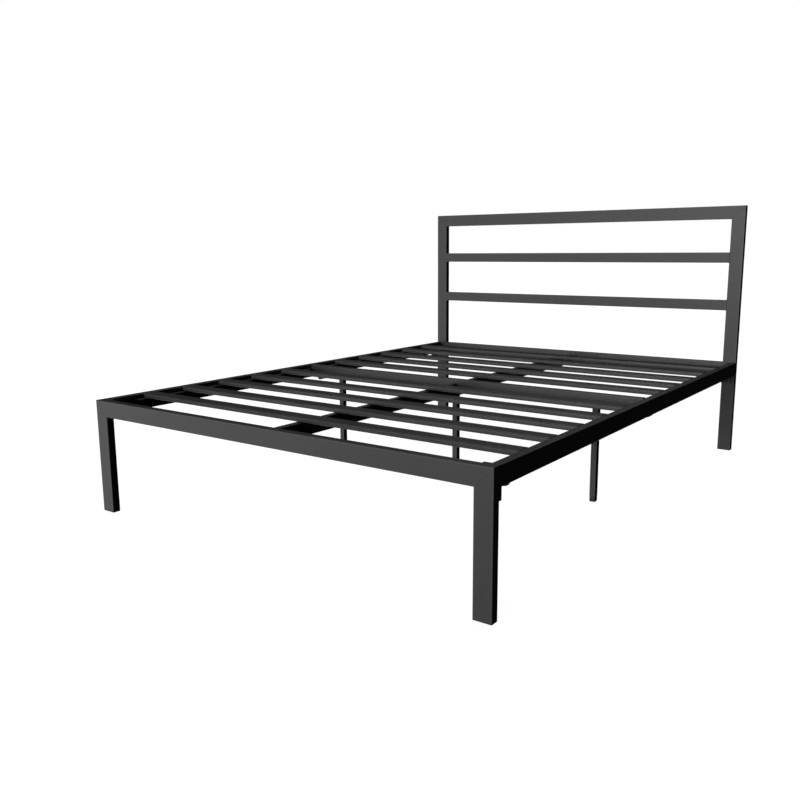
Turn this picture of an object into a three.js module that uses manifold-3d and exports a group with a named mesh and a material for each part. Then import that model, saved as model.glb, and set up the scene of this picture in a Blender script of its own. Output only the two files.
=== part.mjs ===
// Metal platform bed frame with a rail headboard, for a 1.37 m x 1.91 m mattress.
// Millimetres, +Z up. The origin is on the floor below the middle of the frame, +Y runs
// from the foot to the head, and +X is to the right for someone standing at the foot.
import * as THREE from 'three';
import { mergeVertices } from 'three/addons/utils/BufferGeometryUtils.js';
import Module from 'manifold-3d';

const wasm = await Module();
wasm.setup();

// ---- Driving dimensions -------------------------------------------------------------

const WIDTH = 1410;
const LENGTH = 1938;
const HEADBOARD_HEIGHT = 962;
const DECK_HEIGHT = 355;

const GAP = 0.3;                  // air between pieces that touch
const WELD_BITE = 0.2;            // how far welded-on steel runs into its tube

const MAIN_TUBE = { face: 50, depth: 25, wall: 1.2, radius: 1.5 };
const BAR_TUBE = { face: 40, depth: 25, wall: 1.2, radius: 1.5 };
const SPINE_TUBE = { face: 40, depth: 20, wall: 1.2, radius: 1.5 };
const PROP_TUBE = { face: 20, depth: 20, wall: 1.2, radius: 1.5 };
const SLAT_TUBE = { face: 50, depth: 14, wall: 1, radius: 4 };

const MIDDLE_BAR_TOP = 785;
const LOWER_BAR_TOP = 600;

const RAIL_JOINT_Y = 55;          // where the two halves of a side rail meet
const SLEEVE = { length: 160, wall: 1.5, radius: 1.2 };
const JOINT_BOLT_SPREAD = 13;     // from the joint to each of its bolts
const JOINT_BOLT_HEIGHT = 330;
const JOINT_PLATE = { half: 27, top: 347, bottom: 288.5, chamfer: 8, thick: 3 };

const BRACKET = { thick: 2.5, depth: 9.7, bottom: 275, bend: 3, web: 2.5, inset: 6 };
const WEB = { top: 348, bottom: 291, toe: 286.7, slopeStart: 57, slopeEnd: 76, reach: 94.5 };
const WEB_CHAMFER = 4.5;
const CORNER_BOLT_SPREAD = 9;     // from the middle of the leg to each of its bolts
const CORNER_BOLT_HEIGHT = 283;

const CORNER_BOLT = { shank: 4, length: 21, head: 7, headHeight: 4.5, key: 2.5, keyDepth: 2.5 };
const JOINT_BOLT = { shank: 3, length: 15, head: 5.5, headHeight: 3.5, key: 2, keyDepth: 2 };
const BOLT_TIP = 0.6;
const BOLT_DOME = { rim: 0.35, shoulder: 0.78, shoulderRadius: 0.86, crownRadius: 0.62 };
const BOLT_CLEARANCE = 0.4;
const NUT_HEIGHT = 6;
const NUT_WALL = 3.4;

const SLATS_PER_HALF = 5;
const SLAT_END_GAP = 1.5;
const LEDGE = { reach: 20, thick: 2.5, drop: 20, cornerGap: 104, hangerGap: 30, jointGap: 35 };
const PIN = { radius: 4, height: 5, inset: 12, clearance: 0.6 };

const HANGER = { wall: 2.5, reach: 40, flange: 12, plateTop: 350 };
const BEAM_CRADLE_TOP = 347;
const SPINE_CRADLE_TOP = 337.7;
const CRADLE_LENGTH = 120;
const PROP_INSET = 180;           // from the side of the frame to an outer support leg
const PROP_PLATE = { length: 44, width: 25, thick: 3 };

const FOOT = { height: 18, radius: 3, chamfer: 1.5, stud: 4, studTop: 62, studRoot: 2 };
const NUT_PLATE = { bottom: 30, thick: 6 };
const PLUG = { rim: 3, depth: 20, bodyRadius: 1.2 };

const ROUND_STEPS = 12;           // sides of a bolt, pin or hole
const ARC_STEPS = 2;              // sides of a tube's rounded corner
const BEND_STEPS = 4;             // sides of a bent plate's corner
const MERGE_DISTANCE = 1e-4;
const OVERSHOOT = 1;              // how far a cut runs past the face that it opens

// ---- Derived places -----------------------------------------------------------------

const HALF_WIDTH = WIDTH / 2;
const HALF_LENGTH = LENGTH / 2;
const POST_X = HALF_WIDTH - MAIN_TUBE.face / 2;
const POST_Y = HALF_LENGTH - MAIN_TUBE.depth / 2;
const RAIL_X = HALF_WIDTH - MAIN_TUBE.depth / 2;
const RAIL_INNER_X = HALF_WIDTH - MAIN_TUBE.depth;
const RAIL_Z = DECK_HEIGHT - MAIN_TUBE.face / 2;
const POST_INNER_Y = HALF_LENGTH - MAIN_TUBE.depth;
const PLATE_INNER_Y = POST_INNER_Y - GAP - BRACKET.thick;
const RAIL_END_Y = POST_INNER_Y - GAP - BRACKET.depth - GAP;
const SLAT_PITCH = POST_INNER_Y / (SLATS_PER_HALF + 1);
const SLAT_BOTTOM = DECK_HEIGHT - SLAT_TUBE.depth;
const LEDGE_TOP = SLAT_BOTTOM - GAP;
const SPINE_Z = LEDGE_TOP - SPINE_TUBE.face / 2;
const SPINE_BOTTOM = LEDGE_TOP - SPINE_TUBE.face;
const BEAM_Z = DECK_HEIGHT - BAR_TUBE.face / 2;
const BEAM_BOTTOM = DECK_HEIGHT - BAR_TUBE.face;
const PROP_X = HALF_WIDTH - PROP_INSET;

const SIDES = { left: -1, right: 1 };
const ENDS = { foot: -1, head: 1 };
const BOLT_COLUMNS = { outer: 1, inner: -1 };

// ---- Materials ----------------------------------------------------------------------

const POWDER_COAT = { color: 0x39393b, roughness: 0.55, metalness: 0.3 };
const BLACK_ZINC = { color: 0x2b2b2d, roughness: 0.4, metalness: 0.8 };
const PLASTIC = { color: 0x1c1c1d, roughness: 0.7, metalness: 0 };

// ---- Shapes and solids --------------------------------------------------------------

// A rectangle centred on the origin with rounded corners.
function roundedRectangle(width, height, radius, path = new THREE.Shape()) {
  const x = width / 2 - radius;
  const y = height / 2 - radius;
  path.moveTo(x + radius, -y);
  path.absarc(x, y, radius, 0, Math.PI / 2);
  path.absarc(-x, y, radius, Math.PI / 2, Math.PI);
  path.absarc(-x, -y, radius, Math.PI, Math.PI * 1.5);
  path.absarc(x, -y, radius, Math.PI * 1.5, Math.PI * 2);
  return path;
}

function polygon(points) {
  return new THREE.Shape(points.map(([x, y]) => new THREE.Vector2(x, y)));
}

// The rotations that turn a prism drawn in the XY plane to run along each world axis.
// Along x its section lies in (y, z), along y in (z, x) and along z in (x, y).
const TURNS = {
  x: new THREE.Matrix4().makeBasis(
    new THREE.Vector3(0, 1, 0), new THREE.Vector3(0, 0, 1), new THREE.Vector3(1, 0, 0)),
  y: new THREE.Matrix4().makeBasis(
    new THREE.Vector3(0, 0, 1), new THREE.Vector3(1, 0, 0), new THREE.Vector3(0, 1, 0)),
  z: new THREE.Matrix4(),
};

// Extrudes a section along the z axis from one height to another.
function extrude(section, from, to) {
  const geometry = new THREE.ExtrudeGeometry(section, {
    depth: to - from, bevelEnabled: false, curveSegments: ARC_STEPS,
  });
  return geometry.translate(0, 0, from);
}

// Extrudes a section from one coordinate to another along an axis.
function prism(section, along, from, to) {
  return extrude(section, from, to).applyMatrix4(TURNS[along]);
}

// A round bar on an axis, from one coordinate to another.
function roundBar(radius, along, from, to) {
  const geometry = new THREE.CylinderGeometry(radius, radius, to - from, ROUND_STEPS);
  geometry.rotateX(Math.PI / 2);
  geometry.translate(0, 0, (from + to) / 2);
  return geometry.applyMatrix4(TURNS[along]);
}

function box(size, centre) {
  return new THREE.BoxGeometry(...size).translate(...centre);
}

function toSolid(geometry) {
  const bare = geometry.clone();
  bare.deleteAttribute('normal');
  bare.deleteAttribute('uv');
  const merged = mergeVertices(bare, MERGE_DISTANCE);
  return new wasm.Manifold(new wasm.Mesh({
    numProp: 3,
    vertProperties: new Float32Array(merged.attributes.position.array),
    triVerts: new Uint32Array(merged.index.array),
  }));
}

function toGeometry(solid) {
  const mesh = solid.getMesh();
  const geometry = new THREE.BufferGeometry();
  geometry.setAttribute('position', new THREE.BufferAttribute(mesh.vertProperties, 3));
  geometry.setIndex(new THREE.BufferAttribute(mesh.triVerts, 1));
  geometry.computeVertexNormals();
  return geometry;
}

// Joins the added geometries to the base and then cuts the removed ones out of it.
function shaped(base, { added = [], removed = [] }) {
  let solid = toSolid(base);
  for (const geometry of added) solid = solid.add(toSolid(geometry));
  for (const geometry of removed) solid = solid.subtract(toSolid(geometry));
  return toGeometry(solid);
}

// Two distances from the middle as coordinates on one side, in rising order.
function span(side, near, far) {
  return side > 0 ? [near, far] : [-far, -near];
}

// ---- Tubes --------------------------------------------------------------------------

function tubeSection(width, height, { wall, radius }) {
  const section = roundedRectangle(width, height, radius);
  const bore = roundedRectangle(width - 2 * wall, height - 2 * wall, radius - wall / 2,
    new THREE.Path());
  section.holes.push(bore);
  return section;
}

// A rectangular tube along an axis. Its ends are square, or mitred where a slope is given:
// the end then moves by the slope times the section coordinate named by across.
function tube(section, along, from, to, centre, mitre = {}) {
  const geometry = extrude(section, from, to);
  const position = geometry.getAttribute('position');
  const { across = 'y', fromSlope = 0, toSlope = 0 } = mitre;
  for (let i = 0; i < position.count; i += 1) {
    const offset = across === 'x' ? position.getX(i) : position.getY(i);
    const atStart = position.getZ(i) < (from + to) / 2;
    position.setZ(i, position.getZ(i) + offset * (atStart ? fromSlope : toSlope));
  }
  return geometry.applyMatrix4(TURNS[along]).translate(...centre);
}

// ---- Fasteners ----------------------------------------------------------------------

// A hexagonal prism on the z axis, measured to its flats.
function hexagon(flatRadius, from, to) {
  const cornerRadius = flatRadius / Math.cos(Math.PI / 6);
  const geometry = new THREE.CylinderGeometry(cornerRadius, cornerRadius, to - from, 6);
  geometry.rotateX(Math.PI / 2);
  return geometry.translate(0, 0, (from + to) / 2);
}

// A button-head socket bolt: the shank runs down from z = 0 and the head stands above it.
function bolt({ shank, length, head, headHeight, key, keyDepth }) {
  const { rim, shoulder, shoulderRadius, crownRadius } = BOLT_DOME;
  const profile = [
    [0, -length], [shank - BOLT_TIP, -length], [shank, -length + BOLT_TIP], [shank, 0],
    [head, 0], [head, rim * headHeight], [head * shoulderRadius, headHeight * shoulder],
    [head * crownRadius, headHeight], [0, headHeight],
  ];
  const points = profile.map(([r, z]) => new THREE.Vector2(r, z));
  const body = new THREE.LatheGeometry(points, ROUND_STEPS).rotateX(Math.PI / 2);
  const socket = hexagon(key, headHeight - keyDepth, headHeight + OVERSHOOT);
  return shaped(body, { removed: [socket] });
}

// A weld nut's hexagonal prism along the y or x axis, to be joined to a tube's inner wall.
function weldNut(boltRadius, along, from, to, centre) {
  const nut = hexagon(boltRadius + NUT_WALL, from, to);
  return nut.applyMatrix4(TURNS[along]).translate(...centre);
}

// ---- Corner posts and legs ----------------------------------------------------------

function cornerBoltPlaces(side) {
  return Object.values(BOLT_COLUMNS)
    .map((column) => side * (POST_X + column * CORNER_BOLT_SPREAD));
}

// The section coordinate of a corner tube is (x, y); its top is mitred to the rail that it
// carries, and its inner wall has a weld nut behind each corner bolt.
function cornerTube(side, end, top) {
  const section = tubeSection(MAIN_TUBE.face, MAIN_TUBE.depth, MAIN_TUBE);
  const mitreHeight = top - MAIN_TUBE.face / 2 - GAP / 2;
  const base = tube(section, 'z', PLUG.rim + GAP, mitreHeight, [side * POST_X, end * POST_Y, 0],
    { across: 'x', toSlope: side });
  const added = [];
  const removed = [];
  const wallY = POST_INNER_Y + MAIN_TUBE.wall;
  const nut = span(end, wallY - WELD_BITE, wallY + NUT_HEIGHT);
  const hole = span(end, POST_INNER_Y - OVERSHOOT, wallY + NUT_HEIGHT + OVERSHOOT);
  for (const x of cornerBoltPlaces(side)) {
    added.push(weldNut(CORNER_BOLT.shank, 'y', ...nut, [x, 0, CORNER_BOLT_HEIGHT]));
    removed.push(roundBar(CORNER_BOLT.shank + BOLT_CLEARANCE, 'y', ...hole)
      .translate(x, 0, CORNER_BOLT_HEIGHT));
  }
  return shaped(base, { added, removed });
}

// A plastic plug: the rim stands under the tube and the body is pushed up inside it.
function plug() {
  const bodyWidth = MAIN_TUBE.face - 2 * (MAIN_TUBE.wall + GAP);
  const bodyDepth = MAIN_TUBE.depth - 2 * (MAIN_TUBE.wall + GAP);
  const rim = prism(roundedRectangle(MAIN_TUBE.face, MAIN_TUBE.depth, MAIN_TUBE.radius),
    'z', 0, PLUG.rim);
  const body = prism(roundedRectangle(bodyWidth, bodyDepth, PLUG.bodyRadius),
    'z', PLUG.rim / 2, PLUG.depth);
  return shaped(rim, { added: [body] });
}

// ---- Cross rails --------------------------------------------------------------------

// A rail between the corner tubes whose ends are mitred to their tops.
function mitredRail(topHeight, end) {
  const section = tubeSection(MAIN_TUBE.depth, MAIN_TUBE.face, MAIN_TUBE);
  const reach = POST_X - GAP / 2;
  return tube(section, 'x', -reach, reach, [0, end * POST_Y, topHeight - MAIN_TUBE.face / 2],
    { across: 'y', fromSlope: -1, toSlope: 1 });
}

// A rail that butts against the inner faces of the head posts.
function buttedRail(topHeight, size) {
  const section = tubeSection(size.depth, size.face, size);
  const reach = HALF_WIDTH - MAIN_TUBE.face - GAP;
  return tube(section, 'x', -reach, reach, [0, POST_Y, topHeight - size.face / 2]);
}

// ---- Side rails ---------------------------------------------------------------------

// An angle ledge with its pins along the inside of a rail, between two y coordinates.
function ledge(side, fromY, toY) {
  const wall = RAIL_INNER_X + WELD_BITE;
  const reach = RAIL_INNER_X - LEDGE.reach;
  const section = polygon([
    [LEDGE_TOP, side * wall],
    [LEDGE_TOP, side * reach],
    [LEDGE_TOP - LEDGE.thick, side * reach],
    [LEDGE_TOP - LEDGE.thick, side * (RAIL_INNER_X - LEDGE.thick)],
    [LEDGE_TOP - LEDGE.drop, side * (RAIL_INNER_X - LEDGE.thick)],
    [LEDGE_TOP - LEDGE.drop, side * wall],
  ]);
  return prism(section, 'y', fromY, toY);
}

function slatPositions() {
  const positions = [];
  for (let i = SLATS_PER_HALF; i >= 1; i -= 1) positions.push(-i * SLAT_PITCH);
  for (let i = 1; i <= SLATS_PER_HALF; i += 1) positions.push(i * SLAT_PITCH);
  return positions;
}

function sideRail(side, end) {
  const isFoot = end < 0;
  const outerEnd = end * RAIL_END_Y;
  const joint = RAIL_JOINT_Y + end * GAP / 2;
  const section = tubeSection(MAIN_TUBE.face, MAIN_TUBE.depth, MAIN_TUBE);
  const base = tube(section, 'y', Math.min(outerEnd, joint), Math.max(outerEnd, joint),
    [side * RAIL_X, 0, RAIL_Z]);

  const ledgeEnd = end * (POST_INNER_Y - LEDGE.cornerGap);
  const ledgeStart = isFoot ? -LEDGE.hangerGap : RAIL_JOINT_Y + LEDGE.jointGap;
  const fromY = Math.min(ledgeEnd, ledgeStart);
  const toY = Math.max(ledgeEnd, ledgeStart);
  const added = [ledge(side, fromY, toY)];
  for (const y of slatPositions().filter((place) => place > fromY && place < toY)) {
    added.push(roundBar(PIN.radius, 'z', LEDGE_TOP - LEDGE.thick / 2, LEDGE_TOP + PIN.height)
      .translate(side * (RAIL_INNER_X - PIN.inset), y, 0));
  }

  const hole = roundBar(JOINT_BOLT.shank + BOLT_CLEARANCE, 'x',
    -2 * MAIN_TUBE.wall, 2 * MAIN_TUBE.wall);
  hole.translate(side * RAIL_INNER_X, RAIL_JOINT_Y + end * JOINT_BOLT_SPREAD, JOINT_BOLT_HEIGHT);
  return shaped(base, { added, removed: [hole] });
}

// The tube inside a side rail that carries the load across the joint.
function jointSleeve(side) {
  const inset = 2 * (MAIN_TUBE.wall + GAP);
  const section = tubeSection(MAIN_TUBE.face - inset, MAIN_TUBE.depth - inset, SLEEVE);
  const base = tube(section, 'y', RAIL_JOINT_Y - SLEEVE.length / 2,
    RAIL_JOINT_Y + SLEEVE.length / 2, [side * RAIL_X, 0, RAIL_Z]);
  const outerFace = RAIL_INNER_X + MAIN_TUBE.wall + GAP;
  const innerFace = outerFace + SLEEVE.wall;
  const nut = span(side, innerFace - WELD_BITE, innerFace + NUT_HEIGHT);
  const hole = span(side, outerFace - OVERSHOOT, innerFace + NUT_HEIGHT + OVERSHOOT);
  const added = [];
  const removed = [];
  for (const direction of Object.values(ENDS)) {
    const y = RAIL_JOINT_Y + direction * JOINT_BOLT_SPREAD;
    added.push(weldNut(JOINT_BOLT.shank, 'x', ...nut, [0, y, JOINT_BOLT_HEIGHT]));
    removed.push(roundBar(JOINT_BOLT.shank + BOLT_CLEARANCE, 'x', ...hole)
      .translate(0, y, JOINT_BOLT_HEIGHT));
  }
  return shaped(base, { added, removed });
}

// The plate that covers the joint on the inside of a side rail and hangs a little below it.
function jointPlate(side) {
  const { half, top, bottom, chamfer, thick } = JOINT_PLATE;
  const low = RAIL_JOINT_Y - half;
  const high = RAIL_JOINT_Y + half;
  const outline = polygon([
    [low, top], [low, bottom + chamfer], [low + chamfer, bottom],
    [high - chamfer, bottom], [high, bottom + chamfer], [high, top],
  ]);
  const face = RAIL_INNER_X - GAP;
  const base = prism(outline, 'x', ...span(side, face - thick, face));
  const hole = span(side, face - thick - OVERSHOOT, face + OVERSHOOT);
  const removed = Object.values(ENDS).map((direction) => roundBar(
    JOINT_BOLT.shank + BOLT_CLEARANCE, 'x', ...hole)
    .translate(0, RAIL_JOINT_Y + direction * JOINT_BOLT_SPREAD, JOINT_BOLT_HEIGHT));
  return shaped(base, { removed });
}

// ---- Corner brackets ----------------------------------------------------------------

// A bracket is drawn for the foot end, with x = 0 in the middle of the leg and y = 0 on its
// inner face, and is turned round for the head end. hand is 1 for the right leg at the foot.

// The plate against the leg, which stops short of the leg's inner edge. Its outer edge is bent
// back along the rail and a lip closes its top.
function bracketShell(hand) {
  const { thick, depth, bottom, bend, inset } = BRACKET;
  const outer = MAIN_TUBE.face / 2;
  const inner = inset - outer;
  const back = GAP + depth;
  const points = [[outer, back]];
  for (let i = 0; i <= BEND_STEPS; i += 1) {
    const angle = -(i / BEND_STEPS) * (Math.PI / 2);
    points.push([
      outer - bend + bend * Math.cos(angle),
      GAP + bend + bend * Math.sin(angle),
    ]);
  }
  points.push([inner, GAP], [inner, GAP + thick], [outer - thick, GAP + thick]);
  points.push([outer - thick, back]);
  const outline = polygon(points.map(([x, y]) => [hand * x, y]));

  const front = GAP + thick / 2;
  const lipEnd = outer - thick / 2;
  const lip = box([lipEnd - inner, back - front, thick],
    [hand * (inner + lipEnd) / 2, (front + back) / 2, DECK_HEIGHT - thick / 2]);
  return shaped(extrude(outline, bottom, DECK_HEIGHT), { added: [lip] });
}

// The web runs from the plate along the inside of the side rail to a toe that hangs lower.
function bracketWeb(hand) {
  const { top, bottom, toe, slopeStart, slopeEnd, reach } = WEB;
  const start = GAP + BRACKET.thick / 2;
  const outline = polygon([
    [start, top],
    [reach, top],
    [reach, toe + WEB_CHAMFER],
    [reach - WEB_CHAMFER, toe],
    [slopeEnd, toe],
    [slopeStart, bottom],
    [start, bottom],
  ]);
  const face = POST_X - RAIL_INNER_X + GAP;
  return prism(outline, 'x', ...span(-hand, face, face + BRACKET.web));
}

function cornerBracket(hand) {
  const removed = cornerBoltPlaces(hand).map((x) => roundBar(
    CORNER_BOLT.shank + BOLT_CLEARANCE, 'y', GAP - OVERSHOOT, GAP + BRACKET.thick + OVERSHOOT)
    .translate(x - hand * POST_X, 0, CORNER_BOLT_HEIGHT));
  return shaped(bracketShell(hand), { added: [bracketWeb(hand)], removed });
}

// ---- Deck ---------------------------------------------------------------------------

function slat(y) {
  const section = tubeSection(SLAT_TUBE.face, SLAT_TUBE.depth, SLAT_TUBE);
  const reach = RAIL_INNER_X - SLAT_END_GAP;
  const base = tube(section, 'x', -reach, reach, [0, y, DECK_HEIGHT - SLAT_TUBE.depth / 2]);
  const removed = Object.values(SIDES).map((side) => roundBar(
    PIN.radius + PIN.clearance, 'z', SLAT_BOTTOM - OVERSHOOT,
    SLAT_BOTTOM + SLAT_TUBE.wall + OVERSHOOT)
    .translate(side * (RAIL_INNER_X - PIN.inset), y, 0));
  return shaped(base, { removed });
}

function centreRail(end) {
  const section = tubeSection(SPINE_TUBE.face, SPINE_TUBE.depth, SPINE_TUBE);
  const inner = end * (BAR_TUBE.depth / 2 + GAP);
  const outer = end * (POST_INNER_Y - 2 * GAP - HANGER.wall);
  return tube(section, 'y', Math.min(inner, outer), Math.max(inner, outer), [0, 0, SPINE_Z]);
}

function crossBeam() {
  const section = tubeSection(BAR_TUBE.depth, BAR_TUBE.face, BAR_TUBE);
  const reach = RAIL_INNER_X - 2 * GAP - HANGER.wall;
  return tube(section, 'x', -reach, reach, [0, 0, BEAM_Z]);
}

// A saddle that holds the end of a bar. It is drawn with its back plate on the plane x = 0
// and its cradle towards -x, for a bar of the given width whose underside is at barBottom.
function hanger(barWidth, barBottom, cradleTop) {
  const { wall, reach, flange, plateTop } = HANGER;
  const inner = barWidth / 2 + GAP;
  const outer = inner + wall;
  const floor = barBottom - GAP;
  const cradle = prism(polygon([
    [-outer, cradleTop], [-outer, floor - wall], [outer, floor - wall], [outer, cradleTop],
    [inner, cradleTop], [inner, floor], [-inner, floor], [-inner, cradleTop],
  ]), 'x', -reach, -wall / 2);
  const plateHeight = plateTop - (floor - wall);
  const plate = box([wall, 2 * (outer + flange), plateHeight],
    [-wall / 2, 0, plateTop - plateHeight / 2]);
  return shaped(plate, { added: [cradle] });
}

// ---- Support legs and feet ----------------------------------------------------------

// A square tube with a threaded plate welded inside its lower end.
function propTube(top) {
  const section = tubeSection(PROP_TUBE.face, PROP_TUBE.depth, PROP_TUBE);
  const base = tube(section, 'z', FOOT.height + GAP, top, [0, 0, 0]);
  const plateSide = PROP_TUBE.face - 2 * PROP_TUBE.wall + WELD_BITE;
  const plate = box([plateSide, plateSide, NUT_PLATE.thick],
    [0, 0, NUT_PLATE.bottom + NUT_PLATE.thick / 2]);
  return { base, plate };
}

function studHole() {
  return roundBar(FOOT.stud + BOLT_CLEARANCE, 'z', NUT_PLATE.bottom - OVERSHOOT,
    NUT_PLATE.bottom + NUT_PLATE.thick + OVERSHOOT);
}

// An outer support leg, with a top plate that bears on the cross beam.
function outerProp() {
  const top = BEAM_BOTTOM - GAP;
  const { base, plate } = propTube(top - PROP_PLATE.thick / 2);
  const cap = box([PROP_PLATE.length, PROP_PLATE.width, PROP_PLATE.thick],
    [0, 0, top - PROP_PLATE.thick / 2]);
  return shaped(base, { added: [plate, cap], removed: [studHole()] });
}

// The centre support leg, whose cradle holds the ends of both centre rails.
function centreProp() {
  const { wall } = HANGER;
  const floor = SPINE_BOTTOM - GAP;
  const inner = SPINE_TUBE.depth / 2 + GAP;
  const outer = inner + wall;
  const cradleTop = BEAM_BOTTOM - GAP;
  const { base, plate } = propTube(floor - wall / 2);
  const cradle = prism(polygon([
    [cradleTop, -outer], [floor - wall, -outer], [floor - wall, outer], [cradleTop, outer],
    [cradleTop, inner], [floor, inner], [floor, -inner], [cradleTop, -inner],
  ]), 'y', -CRADLE_LENGTH / 2, CRADLE_LENGTH / 2);
  return shaped(base, { added: [plate, cradle], removed: [studHole()] });
}

// A square plastic foot on a threaded stud, with its lower edges chamfered.
function levellingFoot() {
  const { height, radius, chamfer, stud, studTop, studRoot } = FOOT;
  const side = PROP_TUBE.face;
  const block = prism(roundedRectangle(side, side, radius), 'z', 0, height);
  const position = block.getAttribute('position');
  const shrink = 1 - 2 * chamfer / side;
  for (let i = 0; i < position.count; i += 1) {
    if (position.getZ(i) > height / 2) continue;
    position.setXY(i, position.getX(i) * shrink, position.getY(i) * shrink);
  }
  const upper = prism(roundedRectangle(side, side, radius), 'z', 2 * chamfer, height);
  const threadedStud = roundBar(stud, 'z', height - studRoot, studTop);
  return shaped(block, { added: [upper, threadedStud] });
}

// ---- Assembly -----------------------------------------------------------------------

const bed = new THREE.Group();

function addPiece(name, geometry, look, place = [0, 0, 0], turn = [0, 0, 0]) {
  const mesh = new THREE.Mesh(geometry, new THREE.MeshStandardMaterial(look));
  mesh.name = name;
  mesh.position.set(...place);
  mesh.rotation.set(...turn);
  bed.add(mesh);
}

function addFootboard() {
  for (const [sideName, side] of Object.entries(SIDES)) {
    addPiece(`foot_leg_${sideName}`, cornerTube(side, ENDS.foot, DECK_HEIGHT), POWDER_COAT);
  }
  addPiece('foot_rail', mitredRail(DECK_HEIGHT, ENDS.foot), POWDER_COAT);
}

function addHeadboard() {
  for (const [sideName, side] of Object.entries(SIDES)) {
    addPiece(`head_post_${sideName}`, cornerTube(side, ENDS.head, HEADBOARD_HEIGHT), POWDER_COAT);
  }
  addPiece('headboard_top_rail', mitredRail(HEADBOARD_HEIGHT, ENDS.head), POWDER_COAT);
  addPiece('headboard_middle_rail', buttedRail(MIDDLE_BAR_TOP, BAR_TUBE), POWDER_COAT);
  addPiece('headboard_lower_rail', buttedRail(LOWER_BAR_TOP, BAR_TUBE), POWDER_COAT);
  addPiece('head_cross_rail', buttedRail(DECK_HEIGHT, MAIN_TUBE), POWDER_COAT);
}

function addCorner(sideName, endName) {
  const side = SIDES[sideName];
  const end = ENDS[endName];
  const corner = `${endName}_${sideName}`;
  addPiece(`corner_bracket_${corner}`, cornerBracket(-side * end), POWDER_COAT,
    [side * POST_X, end * POST_INNER_Y, 0], [0, 0, end > 0 ? Math.PI : 0]);
  addPiece(`floor_plug_${corner}`, plug(), PLASTIC, [side * POST_X, end * POST_Y, 0]);
  for (const [columnName, column] of Object.entries(BOLT_COLUMNS)) {
    const place = [side * (POST_X + column * CORNER_BOLT_SPREAD), end * (PLATE_INNER_Y - GAP),
      CORNER_BOLT_HEIGHT];
    addPiece(`corner_bolt_${corner}_${columnName}`, bolt(CORNER_BOLT), BLACK_ZINC, place,
      [end * Math.PI / 2, 0, 0]);
  }
}

function addSide(sideName) {
  const side = SIDES[sideName];
  for (const [endName, end] of Object.entries(ENDS)) {
    addPiece(`side_rail_${endName}_${sideName}`, sideRail(side, end), POWDER_COAT);
    const place = [
      side * (RAIL_INNER_X - 2 * GAP - JOINT_PLATE.thick),
      RAIL_JOINT_Y + end * JOINT_BOLT_SPREAD,
      JOINT_BOLT_HEIGHT,
    ];
    addPiece(`rail_joint_bolt_${endName}_${sideName}`, bolt(JOINT_BOLT), BLACK_ZINC, place,
      [0, -side * Math.PI / 2, 0]);
  }
  addPiece(`rail_joint_sleeve_${sideName}`, jointSleeve(side), POWDER_COAT);
  addPiece(`rail_joint_plate_${sideName}`, jointPlate(side), POWDER_COAT);
  addPiece(`cross_beam_hanger_${sideName}`, hanger(BAR_TUBE.depth, BEAM_BOTTOM, BEAM_CRADLE_TOP),
    POWDER_COAT, [side * (RAIL_INNER_X - GAP), 0, 0], [0, 0, side < 0 ? Math.PI : 0]);
}

function addDeck() {
  addPiece('mid_cross_beam', crossBeam(), POWDER_COAT);
  for (const [endName, end] of Object.entries(ENDS)) {
    addPiece(`centre_rail_${endName}`, centreRail(end), POWDER_COAT);
    addPiece(`centre_rail_hanger_${endName}`,
      hanger(SPINE_TUBE.depth, SPINE_BOTTOM, SPINE_CRADLE_TOP), POWDER_COAT,
      [0, end * (POST_INNER_Y - GAP), 0], [0, 0, end * Math.PI / 2]);
  }
  slatPositions().forEach((y, index) => {
    addPiece(`slat_${String(index + 1).padStart(2, '0')}`, slat(y), POWDER_COAT);
  });
}

function addProps() {
  const places = { left: -PROP_X, centre: 0, right: PROP_X };
  for (const [name, x] of Object.entries(places)) {
    const leg = name === 'centre' ? centreProp() : outerProp();
    addPiece(`support_leg_${name}`, leg, POWDER_COAT, [x, 0, 0]);
    addPiece(`levelling_foot_${name}`, levellingFoot(), PLASTIC, [x, 0, 0]);
  }
}

addFootboard();
addHeadboard();
for (const sideName of Object.keys(SIDES)) {
  for (const endName of Object.keys(ENDS)) addCorner(sideName, endName);
  addSide(sideName);
}
addDeck();
addProps();

export default bed;
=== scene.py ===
"""The looks of a black powder-coated steel platform bed frame, built round its CAD frame."""

import math

import bpy
from mathutils import Matrix, Vector


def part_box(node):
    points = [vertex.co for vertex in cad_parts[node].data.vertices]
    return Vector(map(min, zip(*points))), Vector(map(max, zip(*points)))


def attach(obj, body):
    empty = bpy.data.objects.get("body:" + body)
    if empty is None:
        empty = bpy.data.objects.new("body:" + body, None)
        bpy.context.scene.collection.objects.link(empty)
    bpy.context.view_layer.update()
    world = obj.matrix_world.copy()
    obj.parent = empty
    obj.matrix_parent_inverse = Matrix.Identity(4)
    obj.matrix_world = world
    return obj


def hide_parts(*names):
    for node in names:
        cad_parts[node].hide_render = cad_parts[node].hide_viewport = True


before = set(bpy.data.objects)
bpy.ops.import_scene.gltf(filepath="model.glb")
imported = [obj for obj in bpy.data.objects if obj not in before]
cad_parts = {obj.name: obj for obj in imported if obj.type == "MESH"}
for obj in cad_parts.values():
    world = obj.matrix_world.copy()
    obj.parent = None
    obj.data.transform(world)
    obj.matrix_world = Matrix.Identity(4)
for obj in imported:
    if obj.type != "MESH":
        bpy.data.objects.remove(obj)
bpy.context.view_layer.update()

MM = 0.001

# ---- Sizes of the real pieces, in metres --------------------------------------------

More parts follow.
